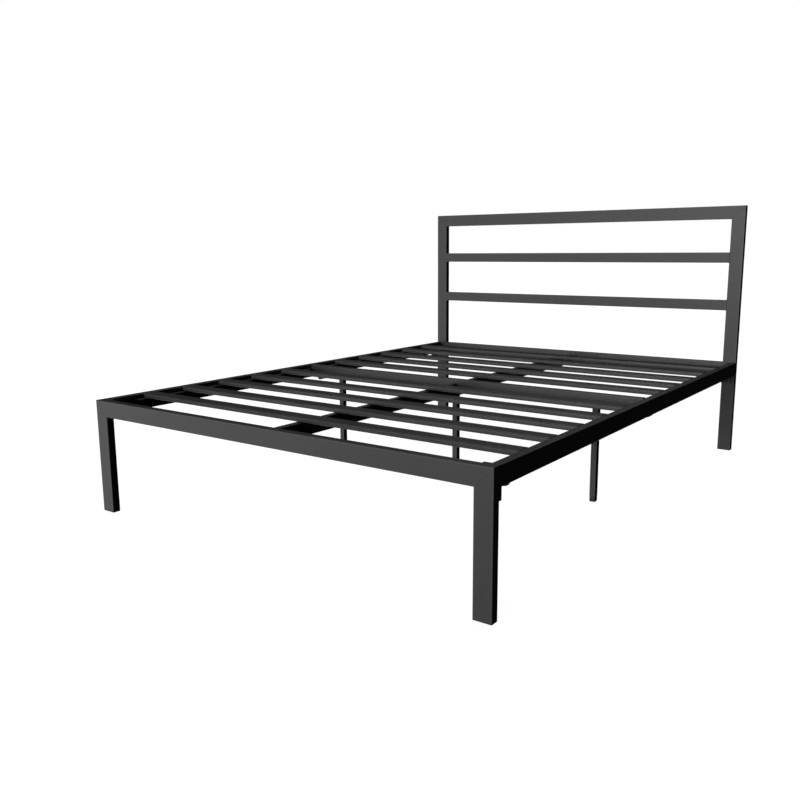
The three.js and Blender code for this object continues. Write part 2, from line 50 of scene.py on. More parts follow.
MAIN_WALL = 1.2 * MM
MAIN_RADIUS = 1.5 * MM
SLAT_WALL = 1 * MM
SLAT_RADIUS = 4 * MM
SLAT_GAP = 0.3 * MM               # between the underside of a slat and the ledge
END_CHAMFER = 0.35 * MM
JOINT_CHAMFER = 0.9 * MM
CORNER_STEPS = 6
ALMOST_ROUND = 0.999              # the corner radius of a round pin, as a share of its radius
EDGE_HIGHLIGHT_AND_WEAR_MARGIN = 2.5 * MM            # how far the painted edge highlight and paint wear fade from an edge

LEDGE_THICK = 2.5 * MM
LEDGE_REACH = 20 * MM
LEDGE_RADIUS = 0.5 * MM
LEDGE_CHAMFER = 0.4 * MM
LEDGE_CLEARANCE = 6 * MM          # between the ends of a ledge and the fittings beside them
PIN_RADIUS = 4 * MM
PIN_HEIGHT = 5 * MM
PIN_ROOT = 0.5 * MM
PIN_CHAMFER = 0.8 * MM
PIN_INSET = 12 * MM

WELD_RADIUS = 1.9 * MM
WELD_PITCH = 1.7 * MM
WELD_SIDES = 12
WELD_RINGS_PER_RIPPLE = 6
WELD_RIPPLE = 0.14                # height of a ripple, as a share of the bead's radius
WELD_CREST = 0.6                  # below 1 the ripples have round crests and sharp valleys
WELD_END = 0.25                   # how thick a bead is at its very end, as a share of its radius
# The crests of a bead's ripples get this share of the painted edge highlight and wear.
WELD_CREST_HIGHLIGHT_AND_WEAR = 0.15
WELD_INSET = 2 * MM               # how far a weld stays from the edges of its tube
LEDGE_WELD_RADIUS = 1.5 * MM
SEAM_DROP = 3 * MM                # how far the seams round a bracket stay from its corners
STITCH_LENGTH = 25 * MM
STITCH_PITCH = 150 * MM

# Button-head bolts: radius of the shank and of the head, height of the head, and half the
# width across flats and the depth of the hexagon socket.
M8 = {"shank": 4 * MM, "head": 7 * MM, "head_height": 4.5 * MM, "key": 2.5 * MM,
      "key_depth": 2.5 * MM}
M6 = {"shank": 3 * MM, "head": 5.5 * MM, "head_height": 3.5 * MM, "key": 2 * MM,
      "key_depth": 2 * MM}
BOLT_SIDES = 48
SOCKET_CENTRE = 0.02 * MM         # the small face at the middle of a socket's floor
BOLT_EASE = 0.25 * MM             # the small chamfers of a bolt's head
BOLT_POINT = 0.7 * MM             # how far the end of a bolt is drawn in
CROWN_START = 0.58                # the flat on a bolt's head, as a share of its radius
CROWN_DROP = 0.72                 # the round of a bolt's head, as a share of its height
CROWN_EDGE = 0.74
CROWN_STEPS = 7

STUD_RADIUS = 4 * MM
STUD_PITCH = 1.25 * MM
STUD_SIDES = 24
STUD_RINGS_PER_TURN = 6
THREAD_DEPTH = 0.65 * MM
BOLT_THREAD_SHARE = 0.8           # a bolt's thread against the depth of a stud's

FOOT_RADIUS = 3 * MM
MOULDED_CHAMFER = 0.5 * MM
FOOT_TAPER = 1 * MM
FOOT_GAP = 0.3 * MM               # between a retracted foot and its leg
STUD_ROOT = 2 * MM                # how deep a stud sits in its foot

PLUG_RIM = 3 * MM
PLUG_CLEARANCE = 0.3 * MM
PLUG_RADIUS = 1.2 * MM
PLUG_CHAMFER = 0.8 * MM

# Edges sharper than these angles, in degrees, stay sharp in the shading.
SHARP_TUBE = 32.0
SHARP_WELD = 60.0
SHARP_BOLT = 40.0
SHARP_STUD = 70.0

EASE_WIDTH = 0.45 * MM            # the eased edges of the pressed pieces
EASE_ANGLE = math.radians(50)
MERGE_DISTANCE = 0.002 * MM

SIDES = {"left": -1, "right": 1}
ENDS = {"foot": -1, "head": 1}
PROPS = ("left", "centre", "right")
SLATS = [f"slat_{number:02d}" for number in range(1, 11)]

# Each axis with the two world axes that a section drawn across it uses, in order.
SECTION_AXES = {"x": (1, 2, 0), "y": (2, 0, 1), "z": (0, 1, 2)}


# ---- Materials ----------------------------------------------------------------------

# Noise scales are in cycles per metre, heights in metres, and low and high values in pairs.
COAT_DARK = (0.021, 0.021, 0.022)
COAT_LIGHT = (0.027, 0.027, 0.028)
# The pale tone of the specks, and of the edges, where it stands for a painted edge highlight mixed
# with rubbed paint.
COAT_WORN_AND_HIGHLIGHT = (0.062, 0.062, 0.064)
COAT_CLOUD_SCALE = 9.0
COAT_GRAIN_SCALE = 950.0
COAT_PEEL_SCALE = 420.0
# Noise that breaks up the painted edge highlight and wear, and the range of its strength.
COAT_HIGHLIGHT_AND_RUB_SCALE = 70.0
COAT_HIGHLIGHT_AND_RUB = (0.15, 0.75)
COAT_SPECKLE = 0.35
COAT_ROUGHNESS = (0.36, 0.5)
COAT_SPECULAR = 0.32
COAT_PEEL_HEIGHT = 0.06 * MM
COAT_PEEL_SHARE = 0.7             # of the height, with the rest from the grain
COAT_PEEL_STRENGTH = 0.8

ZINC_DARK = (0.030, 0.030, 0.033)
ZINC_LIGHT = (0.075, 0.073, 0.074)
ZINC_FINE_SCALE = 1400.0
ZINC_PATCH_SCALE = 160.0
ZINC_ROUGHNESS = (0.26, 0.42)
ZINC_FINE_ROUGHNESS = (-0.04, 0.04)
ZINC_HEIGHT = 0.02 * MM
ZINC_STRENGTH = 0.5

PLASTIC_DARK = (0.012, 0.012, 0.013)
PLASTIC_LIGHT = (0.020, 0.020, 0.021)
PLASTIC_GRAIN_SCALE = 1600.0
PLASTIC_PATCH_SCALE = 60.0
PLASTIC_ROUGHNESS = (0.52, 0.66)
PLASTIC_SPECULAR = 0.4
PLASTIC_HEIGHT = 0.05 * MM
PLASTIC_STRENGTH = 0.7

GRAIN_ROUGHNESS = (-0.05, 0.05)

# Sockets of a colour mix node: its share, its two colours and its result.
MIX_SHARE = 0
MIX_FIRST = 6
MIX_SECOND = 7
MIX_RESULT = 2


class Nodes:
    """A material's node tree with short calls to add and link its nodes."""

    def __init__(self, name):
        self.material = bpy.data.materials.new(name)
        self.material.use_nodes = True
        self.tree = self.material.node_tree
        self.shader = self.tree.nodes["Principled BSDF"]
        self.place = self.add("ShaderNodeTexCoord").outputs["Object"]

    def add(self, kind, **settings):
        node = self.tree.nodes.new(kind)
        for key, value in settings.items():
            setattr(node, key, value)
        return node

    def link(self, source, target):
        self.tree.links.new(source, target)

    def noise(self, scale, detail=2.0, roughness=0.5):
        node = self.add("ShaderNodeTexNoise")
        node.inputs["Scale"].default_value = scale
        node.inputs["Detail"].default_value = detail
        node.inputs["Roughness"].default_value = roughness
        self.link(self.place, node.inputs["Vector"])
        return node.outputs["Fac"]

    def ramp(self, source, stops):
        """Maps a value through (position, grey or colour) stops."""
        node = self.add("ShaderNodeValToRGB")
        elements = node.color_ramp.elements
        while len(elements) < len(stops):
            elements.new(0.5)
        for element, (position, colour) in zip(elements, stops):
            element.position = position
            grey = isinstance(colour, (int, float))
            element.color = (colour, colour, colour, 1) if grey else (*colour, 1)
        self.link(source, node.inputs["Fac"])
        return node.outputs["Color"]

    def span(self, source, low, high):
        """Maps a value from 0..1 to low..high."""
        node = self.add("ShaderNodeMapRange")
        node.inputs["To Min"].default_value = low
        node.inputs["To Max"].default_value = high
        self.link(source, node.inputs["Value"])
        return node.outputs["Result"]

    def times(self, first, second):
        node = self.add("ShaderNodeMath", operation="MULTIPLY")
        for value, socket in ((first, node.inputs[0]), (second, node.inputs[1])):
            if isinstance(value, (int, float)):
                socket.default_value = value
            else:
                self.link(value, socket)
        return node.outputs["Value"]

    def plus(self, first, second):
        node = self.add("ShaderNodeMath", operation="ADD")
        self.link(first, node.inputs[0])
        self.link(second, node.inputs[1])
        return node.outputs["Value"]

    def mix(self, share, first, second):
        node = self.add("ShaderNodeMix", data_type="RGBA")
        self.link(share, node.inputs[MIX_SHARE])
        for value, socket in ((first, node.inputs[MIX_FIRST]), (second, node.inputs[MIX_SECOND])):
            if isinstance(value, tuple):
                socket.default_value = (*value, 1)
            else:
                self.link(value, socket)
        return node.outputs[MIX_RESULT]

    def bump(self, height, distance, strength=1.0):
        node = self.add("ShaderNodeBump")
        node.inputs["Strength"].default_value = strength
        node.inputs["Distance"].default_value = distance
        self.link(height, node.inputs["Height"])
        self.link(node.outputs["Normal"], self.shader.inputs["Normal"])


def powder_coat(name):
    """Black powder coat: fine orange peel, uneven sheen, and edges painted lighter as a painted
    highlight mixed with rubbed paint.
    """
    nodes = Nodes(name)
    cloud = nodes.noise(COAT_CLOUD_SCALE, 3.0)
    grain = nodes.noise(COAT_GRAIN_SCALE, 2.0, 0.6)
    peel = nodes.noise(COAT_PEEL_SCALE, 1.0)
    base = nodes.mix(nodes.ramp(cloud, [(0.3, 0.0), (0.7, 1.0)]), COAT_DARK, COAT_LIGHT)
    speck = nodes.ramp(grain, [(0.42, 0.0), (0.75, 1.0)])
    speckled = nodes.mix(nodes.times(speck, COAT_SPECKLE), base, COAT_WORN_AND_HIGHLIGHT)
    # The edges are painted lighter: a painted edge highlight, broken up by noise like rubbed paint.
    edge_highlight_and_wear = nodes.add("ShaderNodeAttribute", attribute_name="edge_highlight_and_wear").outputs["Fac"]
    highlight_and_rub = nodes.times(edge_highlight_and_wear, nodes.span(nodes.noise(COAT_HIGHLIGHT_AND_RUB_SCALE, 4.0, 0.65), *COAT_HIGHLIGHT_AND_RUB))
    nodes.link(nodes.mix(highlight_and_rub, speckled, COAT_WORN_AND_HIGHLIGHT), nodes.shader.inputs["Base Color"])
    sheen = nodes.plus(nodes.span(cloud, *COAT_ROUGHNESS), nodes.span(grain, *GRAIN_ROUGHNESS))
    nodes.link(sheen, nodes.shader.inputs["Roughness"])
    nodes.shader.inputs["Specular IOR Level"].default_value = COAT_SPECULAR
    height = nodes.plus(nodes.times(peel, COAT_PEEL_SHARE), nodes.times(grain, 1 - COAT_PEEL_SHARE))
    nodes.bump(height, COAT_PEEL_HEIGHT, COAT_PEEL_STRENGTH)
    return nodes.material


def black_zinc(name):
    """Black zinc plate on a machined bolt: dark metal with fine uneven gloss."""
    nodes = Nodes(name)
    fine = nodes.noise(ZINC_FINE_SCALE, 2.0)
    patch = nodes.noise(ZINC_PATCH_SCALE, 3.0)
    nodes.link(nodes.mix(patch, ZINC_DARK, ZINC_LIGHT), nodes.shader.inputs["Base Color"])
    gloss = nodes.plus(nodes.span(patch, *ZINC_ROUGHNESS), nodes.span(fine, *ZINC_FINE_ROUGHNESS))
    nodes.link(gloss, nodes.shader.inputs["Roughness"])
    nodes.shader.inputs["Metallic"].default_value = 1.0
    nodes.bump(fine, ZINC_HEIGHT, ZINC_STRENGTH)
    return nodes.material


def moulded_plastic(name):
    """Black polyethylene with a spark-eroded mould texture."""
    nodes = Nodes(name)
    grain = nodes.noise(PLASTIC_GRAIN_SCALE, 3.0, 0.6)
    patch = nodes.noise(PLASTIC_PATCH_SCALE, 2.0)
    nodes.link(nodes.mix(patch, PLASTIC_DARK, PLASTIC_LIGHT), nodes.shader.inputs["Base Color"])
    gloss = nodes.plus(nodes.span(patch, *PLASTIC_ROUGHNESS), nodes.span(grain, *GRAIN_ROUGHNESS))
    nodes.link(gloss, nodes.shader.inputs["Roughness"])
    nodes.shader.inputs["Specular IOR Level"].default_value = PLASTIC_SPECULAR
    nodes.bump(grain, PLASTIC_HEIGHT, PLASTIC_STRENGTH)
    return nodes.material


COAT = powder_coat("powder_coat")
ZINC = black_zinc("black_zinc")
PLASTIC = moulded_plastic("moulded_plastic")


# ---- Mesh building ------------------------------------------------------------------

class Builder:
    """Collects vertices with their share of painted edge highlight and paint wear, and faces, for
    one object.
    """

    def __init__(self):
        self.points = []
        self.edge_highlight_and_wear = []
        self.faces = []

    def ring(self, points, edge_highlight_and_wear):
        """Adds a ring of vertices and returns their numbers. Its share of painted edge highlight
        and wear is one value or a list.
        """
        first = len(self.points)
        self.points.extend(points)
        self.edge_highlight_and_wear.extend(edge_highlight_and_wear if isinstance(edge_highlight_and_wear, list) else [edge_highlight_and_wear] * len(points))
        return list(range(first, len(self.points)))

    def bridge(self, first, second, flip=False):
        """Joins two rings of equal length with quads."""
        count = len(first)
        for index in range(count):
            after = (index + 1) % count
            quad = (first[index], first[after], second[after], second[index])
            self.faces.append(quad[::-1] if flip else quad)

    def cap(self, ring, flip=False):
        self.faces.append(tuple(reversed(ring)) if flip else tuple(ring))

    def finish(self, name, material, sharp=SHARP_TUBE):
        mesh = bpy.data.meshes.new(name)
        mesh.from_pydata([tuple(point) for point in self.points], [], self.faces)
        # Each vertex's share of the painted edge highlight and wear reaches the material through
        # this attribute.
        mesh.attributes.new("edge_highlight_and_wear", "FLOAT", "POINT").data.foreach_set("value", self.edge_highlight_and_wear)
        mesh.materials.append(material)
        mesh.polygons.foreach_set("use_smooth", [True] * len(mesh.polygons))
        mesh.set_sharp_from_angle(angle=math.radians(sharp))
        mesh.validate()
        piece = bpy.data.objects.new(name, mesh)
        bpy.context.scene.collection.objects.link(piece)
        return piece


def rounded_section(width, height, radius, steps=CORNER_STEPS, margin=EDGE_HIGHLIGHT_AND_WEAR_MARGIN):
    """(u, v, share) points round a rectangle with rounded corners, anticlockwise. The share of
    painted edge highlight and wear is 1 on the corners and 0 beside them.
    """
    section = []
    quarter = math.pi / 2
    corners = ((1, 1), (-1, 1), (-1, -1), (1, -1))
    for number, (side_u, side_v) in enumerate(corners):
        centre = (side_u * (width / 2 - radius), side_v * (height / 2 - radius))
        start = number * quarter
        arc = []
        for step in range(steps + 1):
            angle = start + quarter * step / steps
            arc.append((centre[0] + radius * math.cos(angle),
                        centre[1] + radius * math.sin(angle), 1.0))
        before = (arc[0][0] + margin * math.sin(start), arc[0][1] - margin * math.cos(start), 0.0)
        turned = start + quarter
        after = (arc[-1][0] - margin * math.sin(turned),
                 arc[-1][1] + margin * math.cos(turned), 0.0)
        section += [before, *arc, after]
    return section


def along(axis, u, v, w):
    """The world point at section coordinates u, v and distance w along an axis."""
    point = [0.0, 0.0, 0.0]
    for place, value in zip(SECTION_AXES[axis], (u, v, w)):
        point[place] = value
    return Vector(point)


def add_tube(builder, axis, box, wall, radius, slopes=(0, 0), across=0, chamfers=None):
    """A rectangular tube that fills a box. An end with a slope is mitred: it moves by the
    slope times the section coordinate that across names."""
    low, high = box
    places = SECTION_AXES[axis]
    size = [high[place] - low[place] for place in places]
    middle = [(high[place] + low[place]) / 2 for place in places]
    half = size[across] / 2
    chamfers = chamfers or (END_CHAMFER, END_CHAMFER)
    outer = rounded_section(size[0], size[1], radius)
    inner = rounded_section(size[0] - 2 * wall, size[1] - 2 * wall, radius - wall / 2,
                            steps=CORNER_STEPS // 2, margin=0.0)

    def ring(section, end, inset, depth, edge_highlight_and_wear=None):
        slope = slopes[0 if end < 0 else 1]
        limit = low[places[2]] if end < 0 else high[places[2]]
        points = []
        for u, v, _ in section:
            scale_u = 1 - 2 * inset / size[0]
            scale_v = 1 - 2 * inset / size[1]
            offset = (u, v)[across]
            w = limit - end * (abs(slope) * half + depth) + slope * offset
            points.append(along(axis, middle[0] + u * scale_u, middle[1] + v * scale_v, w))
        # Each point's share of the painted edge highlight and wear.
        highlit_and_worn = [share for _, _, share in section] if edge_highlight_and_wear is None else [edge_highlight_and_wear] * len(section)
        return builder.ring(points, highlit_and_worn)

    first_chamfer, last_chamfer = chamfers
    # The end chamfers get the full painted edge highlight and wear.
    rings = [
        ring(outer, -1, first_chamfer, 0.0, 1.0),
        ring(outer, -1, 0.0, first_chamfer, 1.0),
        ring(outer, -1, 0.0, first_chamfer + EDGE_HIGHLIGHT_AND_WEAR_MARGIN),
        ring(outer, 1, 0.0, last_chamfer + EDGE_HIGHLIGHT_AND_WEAR_MARGIN),
        ring(outer, 1, 0.0, last_chamfer, 1.0),
        ring(outer, 1, last_chamfer, 0.0, 1.0),
    ]
    for before, after in zip(rings, rings[1:]):
        builder.bridge(before, after)
    bore = [ring(inner, -1, 0.0, 0.0, 0.0), ring(inner, 1, 0.0, 0.0, 0.0)]
    builder.bridge(bore[0], bore[1], flip=True)
    return rings[0], rings[-1], bore


def close_tube_ends(builder, first, last, bore):
    """Joins the outer and inner edges at both ends of a tube with quads and triangles."""
    for outer, inner, flip in ((first, bore[0], True), (last, bore[1], False)):
        count_outer, count_inner = len(outer), len(inner)
        per_outer, per_inner = count_outer // 4, count_inner // 4
        for quarter in range(4):
            out = [outer[(quarter * per_outer + k) % count_outer] for k in range(per_outer + 1)]
            inn = [inner[(quarter * per_inner + k) % count_inner] for k in range(per_inner + 1)]
            i = j = 0
            while i < len(out) - 1 or j < len(inn) - 1:
                step_out = j == len(inn) - 1 or (
                    i < len(out) - 1 and i / (len(out) - 1) <= j / (len(inn) - 1))
                if step_out:
                    face = (out[i], out[i + 1], inn[j])
                    i += 1
                else:
                    face = (out[i], inn[j + 1], inn[j])
                    j += 1
                builder.faces.append(face[::-1] if flip else face)


def tube_piece(name, node, axis, wall, radius, extras=(), **shape):
    """A tube that stands for a CAD node and fills its box, or the box given for it."""
    builder = Builder()
    box = shape.pop("box", None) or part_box(node)
    first, last, bore = add_tube(builder, axis, box, wall, radius, **shape)
    close_tube_ends(builder, first, last, bore)
    for extra in extras:
        extra(builder)
    piece = builder.finish(name, COAT)
    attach(piece, "frame")
    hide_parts(node)


def add_rounded_prism(builder, axis, box, radius, chamfer, steps=4, taper=0.0):
    """A solid bar with rounded long edges and chamfered ends that fills a box. The low end
    is drawn in by the taper on each side."""
    low, high = box
    places = SECTION_AXES[axis]
    size = [high[place] - low[place] for place in places]
    middle = [(high[place] + low[place]) / 2 for place in places]
    section = rounded_section(size[0], size[1], radius, steps, margin=0.0)
    stations = [
        (low[places[2]], chamfer + taper), (low[places[2]] + chamfer, taper),
        (low[places[2]] + chamfer + 2 * taper, 0.0), (high[places[2]] - chamfer, 0.0),
        (high[places[2]], chamfer),
    ]
    rings = []
    for w, inset in stations:
        rings.append(builder.ring([
            along(axis, middle[0] + u * (1 - 2 * inset / size[0]),
                  middle[1] + v * (1 - 2 * inset / size[1]), w)
            for u, v, _ in section], 0.0))
    for before, after in zip(rings, rings[1:]):
        builder.bridge(before, after)
    builder.cap(rings[0], flip=True)
    builder.cap(rings[-1])


def add_weld(builder, start, end, radius=WELD_RADIUS):
    """A rippled weld bead along a line. Half of it is buried in the steel that it joins."""
    start, end = Vector(start), Vector(end)
    line = end - start
    length = line.length
    forward = line.normalized()
    side = forward.orthogonal().normalized()
    up = forward.cross(side)
    step = WELD_PITCH / WELD_RINGS_PER_RIPPLE
    count = max(WELD_RINGS_PER_RIPPLE, int(length / step))
    rings = []
    for index in range(count + 1):
        distance = length * index / count
        ripple = abs(math.sin(math.pi * distance / WELD_PITCH)) ** WELD_CREST
        taper = min(1.0, min(distance, length - distance) / radius + WELD_END)
        reach = radius * taper * (1 - WELD_RIPPLE + WELD_RIPPLE * ripple)
        points = []
        for corner in range(WELD_SIDES):
            angle = 2 * math.pi * corner / WELD_SIDES
            points.append(start + forward * distance
                          + (side * math.cos(angle) + up * math.sin(angle)) * reach)
        # The crests of the ripples get a little of the painted edge highlight and wear.
        rings.append(builder.ring(points, WELD_CREST_HIGHLIGHT_AND_WEAR * ripple))
    for before, after in zip(rings, rings[1:]):
        builder.bridge(before, after)
    builder.cap(rings[0], flip=True)
    builder.cap(rings[-1])


def weld_piece(name, lines, radius=WELD_RADIUS):
    builder = Builder()
    for start, end in lines:
        add_weld(builder, start, end, radius)
    piece = builder.finish(name, COAT, sharp=SHARP_WELD)
    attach(piece, "frame")


# ---- Headboard and footboard --------------------------------------------------------

def build_corner_tubes():
    for side_name, side in SIDES.items():
        for node in (f"foot_leg_{side_name}", f"head_post_{side_name}"):
            tube_piece(f"{node}_tube", node, "z", MAIN_WALL, MAIN_RADIUS,
                       slopes=(0, side), across=0)


def build_cross_rails():
    for node in ("foot_rail", "headboard_top_rail"):
        tube_piece(f"{node}_tube", node, "x", MAIN_WALL, MAIN_RADIUS,
                   slopes=(-1, 1), across=1)
    for node in ("headboard_middle_rail", "headboard_lower_rail", "head_cross_rail"):
        tube_piece(f"{node}_tube", node, "x", MAIN_WALL, MAIN_RADIUS)


def butt_weld_lines(node):
    """Fillet welds above and below a rail where it meets the posts."""
    low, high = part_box(node)
    lines = []
    for x in (low.x, high.x):
        for z in (low.z, high.z):
            lines.append(((x, low.y + WELD_INSET, z), (x, high.y - WELD_INSET, z)))
    return lines


def build_frame_welds():
    lines = []
    for node in ("headboard_middle_rail", "headboard_lower_rail", "head_cross_rail"):
        lines += butt_weld_lines(node)
    weld_piece("headboard_welds", lines)
    corners = []
    for node in ("foot_rail", "headboard_top_rail"):
        low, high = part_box(node)
        face = high.z - low.z
        for side, x in ((-1, low.x), (1, high.x)):
            inner = x - side * face
            corners.append(((inner, low.y + WELD_INSET, low.z),
                            (inner, high.y - WELD_INSET, low.z)))
    weld_piece("mitre_welds", corners)


# ---- Side rails ---------------------------------------------------------------------

def rail_box(node, side):
    """The box of a side rail's tube alone, without its ledge."""
    low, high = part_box(node)
    foot_low, foot_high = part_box("foot_rail")
    depth = foot_high.y - foot_low.y
    if side > 0:
        return Vector((high.x - depth, low.y, low.z)), high
    return low, Vector((low.x + depth, high.y, high.z))


def slat_pins(low_y, high_y):
    """The y coordinates of the slats over a stretch of rail."""
    centres = [(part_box(slat)[0].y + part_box(slat)[1].y) / 2 for slat in SLATS]
    return [centre for centre in centres if low_y < centre < high_y]


def add_ledge(builder, side, inner_x, top, start, end):
    """An angle ledge against the inside of a rail, with a pin for each slat."""
    reach = inner_x - side * LEDGE_REACH
    back = inner_x - side * LEDGE_THICK
    x = sorted((reach, inner_x))
    add_rounded_prism(builder, "y", (Vector((x[0], start, top - LEDGE_THICK)),
                                     Vector((x[1], end, top))), LEDGE_RADIUS, LEDGE_CHAMFER)
    x = sorted((back, inner_x))
    add_rounded_prism(builder, "y", (Vector((x[0], start, top - LEDGE_REACH)),
                                     Vector((x[1], end, top - LEDGE_THICK / 2))),
                      LEDGE_RADIUS, LEDGE_CHAMFER)
    for y in slat_pins(start, end):
        centre = Vector((inner_x - side * PIN_INSET, y, 0))
        low = centre + Vector((-PIN_RADIUS, -PIN_RADIUS, top - PIN_ROOT))
        high = centre + Vector((PIN_RADIUS, PIN_RADIUS, top + PIN_HEIGHT))
        add_rounded_prism(builder, "z", (low, high), PIN_RADIUS * ALMOST_ROUND, PIN_CHAMFER,
                          steps=CORNER_STEPS)


def ledge_span(end_name):
    """Where a ledge starts and ends along its rail: clear of the corner bracket, of the
    middle beam's hanger and of the joint plate."""
    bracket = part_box(f"corner_bracket_{end_name}_right")
    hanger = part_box("cross_beam_hanger_right")
    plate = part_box("rail_joint_plate_right")
    if end_name == "foot":
        return bracket[1].y + LEDGE_CLEARANCE, hanger[0].y - LEDGE_CLEARANCE
    return plate[1].y + LEDGE_CLEARANCE, bracket[0].y - LEDGE_CLEARANCE


def ledge_top():
    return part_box(SLATS[0])[0].z - SLAT_GAP


def build_side_rails():
    top = ledge_top()
    for side_name, side in SIDES.items():
        for end_name, end in ENDS.items():
            node = f"side_rail_{end_name}_{side_name}"
            box = rail_box(node, side)
            inner_x = box[0].x if side > 0 else box[1].x
            start, finish = ledge_span(end_name)
            chamfers = (END_CHAMFER, JOINT_CHAMFER) if end < 0 else (JOINT_CHAMFER, END_CHAMFER)

            def ledge(builder, side=side, inner_x=inner_x, start=start, finish=finish):
                add_ledge(builder, side, inner_x, top, start, finish)

            tube_piece(f"{node}_tube", node, "y", MAIN_WALL, MAIN_RADIUS, extras=[ledge],
                       box=box, chamfers=chamfers)


def build_rail_welds():
    """Short welds that hold the ledges, and the seams round each corner bracket."""
    top = ledge_top()
    lines = []
    for side_name, side in SIDES.items():
        for end_name, end in ENDS.items():
            box = rail_box(f"side_rail_{end_name}_{side_name}", side)
            inner_x = box[0].x if side > 0 else box[1].x
            start, finish = ledge_span(end_name)
            y = start + STITCH_PITCH / 3
            while y + STITCH_LENGTH < finish:
                lines.append(((inner_x, y, top), (inner_x, y + STITCH_LENGTH, top)))
                y += STITCH_PITCH
            outer_y = box[0].y if end < 0 else box[1].y
            for z in (box[0].z, box[1].z - SEAM_DROP):
                lines.append(((box[0].x + WELD_INSET, outer_y, z),
                              (box[1].x - WELD_INSET, outer_y, z)))
            lines.append(((inner_x, outer_y, box[0].z + SEAM_DROP),
                          (inner_x, outer_y, box[1].z - 2 * SEAM_DROP)))
    weld_piece("side_rail_welds", lines, LEDGE_WELD_RADIUS)


# ---- Deck ---------------------------------------------------------------------------

def build_deck():
    for slat in SLATS:
        tube_piece(f"{slat}_tube", slat, "x", SLAT_WALL, SLAT_RADIUS)
    tube_piece("mid_cross_beam_tube", "mid_cross_beam", "x", MAIN_WALL, MAIN_RADIUS)
    for end_name in ENDS:
        tube_piece(f"centre_rail_{end_name}_tube", f"centre_rail_{end_name}", "y",
                   MAIN_WALL, MAIN_RADIUS)


def soften_cad_nodes():
    """The pressed and welded steel pieces keep their CAD shape, with their edges eased."""
    kept = [f"support_leg_{prop}" for prop in PROPS]
    for side_name in SIDES:
        kept += [f"rail_joint_sleeve_{side_name}", f"rail_joint_plate_{side_name}",
                 f"cross_beam_hanger_{side_name}"]
        kept += [f"corner_bracket_{end_name}_{side_name}" for end_name in ENDS]
    kept += [f"centre_rail_hanger_{end_name}" for end_name in ENDS]
    for node in kept:
        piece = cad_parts[node]
        piece.data.materials.clear()
        piece.data.materials.append(COAT)
        weld = piece.modifiers.new("merge", "WELD")
        weld.merge_threshold = MERGE_DISTANCE
        bevel = piece.modifiers.new("ease", "BEVEL")
        bevel.width = EASE_WIDTH
        bevel.segments = 2
        bevel.limit_method = "ANGLE"
        bevel.angle_limit = EASE_ANGLE
        piece.data.polygons.foreach_set("use_smooth", [True] * len(piece.data.polygons))
        normals = piece.modifiers.new("normals", "WEIGHTED_NORMAL")
        normals.keep_sharp = True


# ---- Bolts --------------------------------------------------------------------------

def build_bolt(name, node, direction, shank, head, head_height, key, key_depth):
    """A button-head socket bolt. direction points out of the top of its head."""
    low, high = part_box(node)
    centre = (low + high) / 2
    direction = Vector(direction)
    tip_to_top = abs((high - low).dot(direction))
    top = centre + direction * tip_to_top / 2
    builder = Builder()
    side = direction.orthogonal().normalized()
    other = direction.cross(side)

    def ring(depth, radius, hexagon=False):
        points = []
        for number in range(BOLT_SIDES):
            angle = 2 * math.pi * number / BOLT_SIDES
            reach = radius
            if hexagon:
                third = math.pi / 3
                reach = radius / math.cos((angle % third) - third / 2)
            points.append(top - direction * depth
                          + (side * math.cos(angle) + other * math.sin(angle)) * reach)
        return builder.ring(points, 0.0)

    rings = [ring(key_depth, SOCKET_CENTRE), ring(key_depth, key, True),
             ring(BOLT_EASE, key, True), ring(0.0, key + BOLT_EASE), ring(0.0, head * CROWN_START)]
    for step in range(1, CROWN_STEPS):
        turn = step / CROWN_STEPS * math.pi / 2
        rings.append(ring(head_height * CROWN_DROP * (1 - math.cos(turn)),
                          head * (CROWN_START + (1 - CROWN_START) * math.sin(turn))))
    rings += [ring(head_height * CROWN_EDGE, head), ring(head_height - BOLT_EASE, head),
              ring(head_height, head - BOLT_EASE), ring(head_height, shank)]
    depth = head_height + STUD_PITCH
    while depth < tip_to_top - STUD_PITCH:
        rings.append(ring(depth, shank))
        rings.append(ring(depth + STUD_PITCH / 2, shank - THREAD_DEPTH * BOLT_THREAD_SHARE))
        depth += STUD_PITCH
    rings += [ring(tip_to_top - STUD_PITCH / 2, shank), ring(tip_to_top, shank - BOLT_POINT)]
    for before, after in zip(rings, rings[1:]):
        builder.bridge(after, before)
    builder.cap(rings[0])
    builder.cap(rings[-1], flip=True)
    piece = builder.finish(name, ZINC, sharp=SHARP_BOLT)
    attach(piece, "frame")
    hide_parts(node)


def build_bolts():
    for side_name, side in SIDES.items():
        for end_name, end in ENDS.items():
            for column in ("outer", "inner"):
                node = f"corner_bolt_{end_name}_{side_name}_{column}"
                build_bolt(f"{node}_m8", node, (0, -end, 0), **M8)
            node = f"rail_joint_bolt_{end_name}_{side_name}"
            build_bolt(f"{node}_m6", node, (-side, 0, 0), **M6)


# ---- Feet ---------------------------------------------------------------------------

